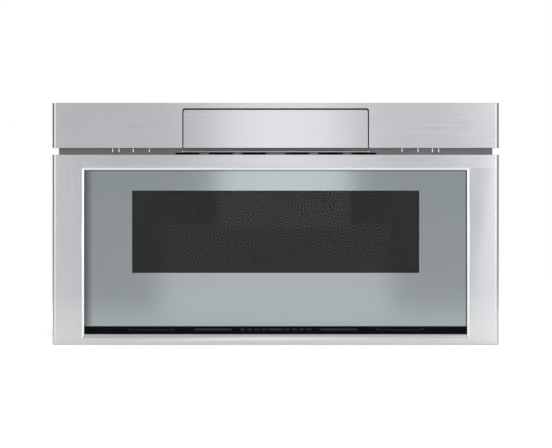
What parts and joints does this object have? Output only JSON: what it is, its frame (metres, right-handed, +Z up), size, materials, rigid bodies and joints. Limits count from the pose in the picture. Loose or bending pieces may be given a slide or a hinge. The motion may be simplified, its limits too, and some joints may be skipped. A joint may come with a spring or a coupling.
{
  "type": "microwave drawer",
  "caption": "Built-in microwave oven whose door and cooking tub slide out as a drawer on telescopic rails, under a console band with a tilting touch flap.",
  "frame": {"origin": "on the underside of the chassis in the middle, below the rear face of the mounting plate, where the cabinet's face meets its shelf", "axes": "+X to the right seen from the front, +Y into the cabinet, +Z up"},
  "size_m": [0.7588, 0.634, 0.4115],
  "materials": {
    "stainless": "brushed",
    "case_steel": "galvanised",
    "plate_steel": "dark satin",
    "oven_steel": "satin",
    "rail_steel": "zinc plated",
    "door_glass": "polished",
    "glass_mirror": "half silvered",
    "screen_black": "perforated black",
    "black_plastic": "fine grain",
    "grey_plastic": "moulded",
    "white_plastic": "moulded",
    "touch_glass": "black printed",
    "shelf_ceramic": "smooth",
    "mica": "mica sheet",
    "rubber": "soft",
    "electrics": "laminated steel",
    "board_green": "printed board",
    "screw_zinc": "plated"
  },
  "bodies": {
    "oven": {"base_plate": "case_steel", "outer_case": "case_steel", "rear_plate": "case_steel", "front_plate": "plate_steel", "cavity_box": "oven_steel", "antenna_cover": "mica", "waveguide": "case_steel", "magnetron": "electrics", "hv_transformer": "electrics", "hv_capacitor": "electrics", "fan_shroud": "grey_plastic", "fan_motor": "electrics", "antenna_motor": "electrics", "drive_gearmotor": "grey_plastic", "rack_guide": "white_plastic", "outer_rail_left": "rail_steel", "outer_rail_right": "rail_steel", "rail_brackets": "case_steel", "power_board": "board_green", "noise_filter": "board_green", "cavity_lamp": "white_plastic", "interlock_bracket": "case_steel", "interlock_switches": "black_plastic", "cord_bushing": "black_plastic", "console_band": "stainless", "console_housing": "black_plastic", "band_brackets": "rail_steel", "flap_latch": "white_plastic", "case_screws": "screw_zinc", "thermal_cutouts": "white_plastic"},
    "drawer": {"front_frame": "stainless", "door_glass": "door_glass", "glass_mask": "glass_mirror", "window_screen": "screen_black", "glass_carrier": "grey_plastic", "lower_grille": "black_plastic", "choke_pan": "oven_steel", "choke_cover": "black_plastic", "back_panel": "case_steel", "tub": "oven_steel", "ceramic_shelf": "shelf_ceramic", "rack": "white_plastic", "rail_arms": "rail_steel", "inner_rail_left": "rail_steel", "inner_rail_right": "rail_steel", "striker": "white_plastic", "bumpers": "rubber", "drawer_screws": "screw_zinc"},
    "middle_rails": {"middle_rail_left": "rail_steel", "middle_rail_right": "rail_steel"},
    "outer_cages": {"outer_ball_cages": "rail_steel"},
    "inner_cages": {"inner_ball_cages": "rail_steel"},
    "flap": {"flap_skin": "stainless", "flap_carrier": "black_plastic", "touch_glass": "touch_glass", "touch_board": "board_green"},
    "pinion": {"drive_pinion": "white_plastic"},
    "fan": {"fan_wheel": "white_plastic"},
    "antenna": {"antenna_rotor": "case_steel"},
    "plungers": {"switch_plungers": "white_plastic"}
  },
  "joints": [
    {"name": "drawer_slide", "type": "slide", "parent": "oven", "child": "drawer", "axis": [0, -1, 0], "range_m": [0, 0.381]},
    {"name": "middle_rail_slide", "type": "slide", "parent": "oven", "child": "middle_rails", "axis": [0, -1, 0], "range_m": [0, 0.1905]},
    {"name": "outer_cage_slide", "type": "slide", "parent": "oven", "child": "outer_cages", "axis": [0, -1, 0], "range_m": [0, 0.09525]},
    {"name": "inner_cage_slide", "type": "slide", "parent": "oven", "child": "inner_cages", "axis": [0, -1, 0], "range_m": [0, 0.28575]},
    {"name": "pinion_spin", "type": "hinge", "parent": "oven", "child": "pinion", "pos_m": [-0.128, 0.045, 0.04], "axis": [0, 0, 1], "range_deg": [0, 1215]},
    {"name": "flap_tilt", "type": "hinge", "parent": "oven", "child": "flap", "pos_m": [0, -0.0405, 0.3235], "axis": [1, 0, 0], "range_deg": [0, 45]},
    {"name": "fan_spin", "type": "hinge", "parent": "oven", "child": "fan", "pos_m": [0.131, 0.506, 0.122], "axis": [1, 0, 0], "continuous": true},
    {"name": "antenna_spin", "type": "hinge", "parent": "oven", "child": "antenna", "pos_m": [0, 0.215, 0.07], "axis": [0, 0, 1], "continuous": true},
    {"name": "plunger_press", "type": "slide", "parent": "oven", "child": "plungers", "axis": [0, 1, 0], "range_m": [0, 0.0015], "stiffness_N_per_m": 300}
  ],
  "couplings": [
    {"joint": "middle_rail_slide", "follows": "drawer_slide", "ratio": 0.5},
    {"joint": "outer_cage_slide", "follows": "drawer_slide", "ratio": 0.25},
    {"joint": "inner_cage_slide", "follows": "drawer_slide", "ratio": 0.75},
    {"joint": "pinion_spin", "follows": "drawer_slide", "rad_per_m": 55.556}
  ]
}
